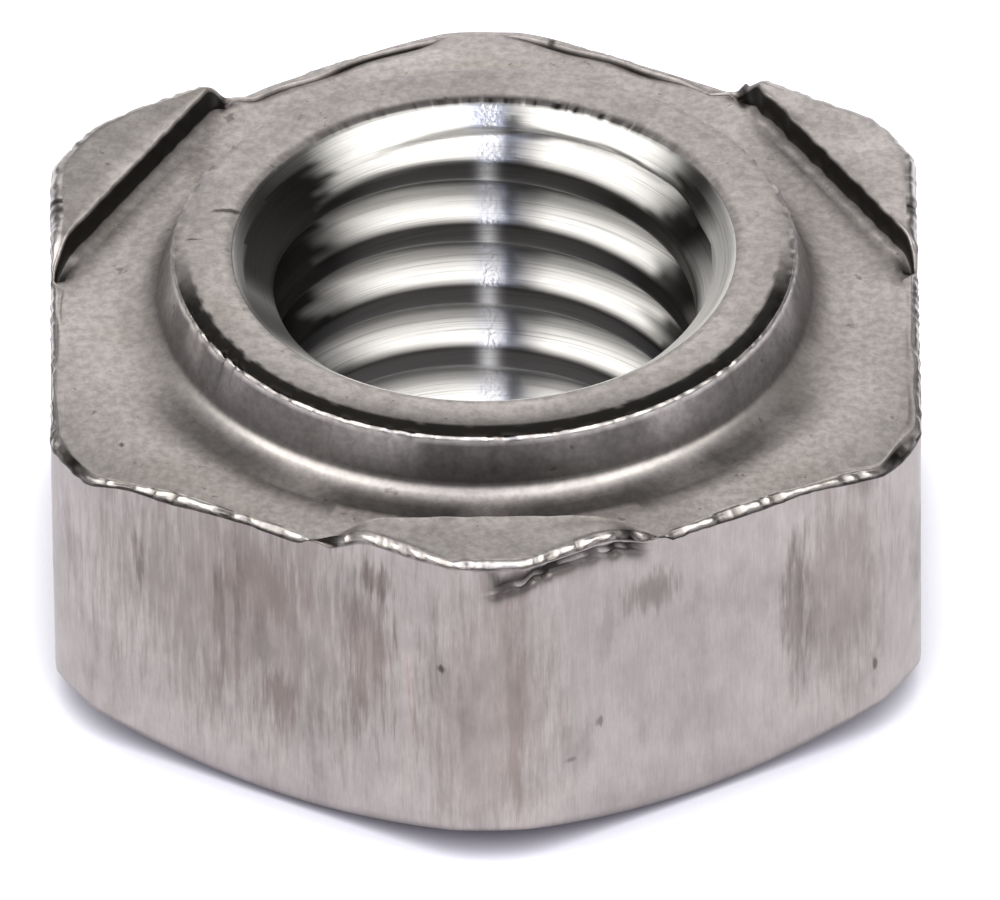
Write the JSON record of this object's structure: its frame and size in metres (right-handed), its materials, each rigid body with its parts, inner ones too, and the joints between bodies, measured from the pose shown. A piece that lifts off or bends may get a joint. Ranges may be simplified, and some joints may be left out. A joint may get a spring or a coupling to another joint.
{
  "type": "hexagon weld nut",
  "caption": "Hexagon projection weld nut in stainless steel, with a round pilot collar, raised weld projections on alternate corners and a tapped through hole.",
  "frame": {"origin": "middle of the round bearing face that the nut rests on, at the lowest point of its axis", "axes": "+Z along the thread axis towards the welding side with the collar and projections; -Y points to a corner that carries a projection"},
  "size_m": [0.014, 0.0154, 0.0065],
  "materials": {
    "steel": "satin cold-forged stainless steel, brighter in the tapped thread"
  },
  "bodies": {
    "root": {"weld_nut": "steel"}
  },
  "joints": []
}
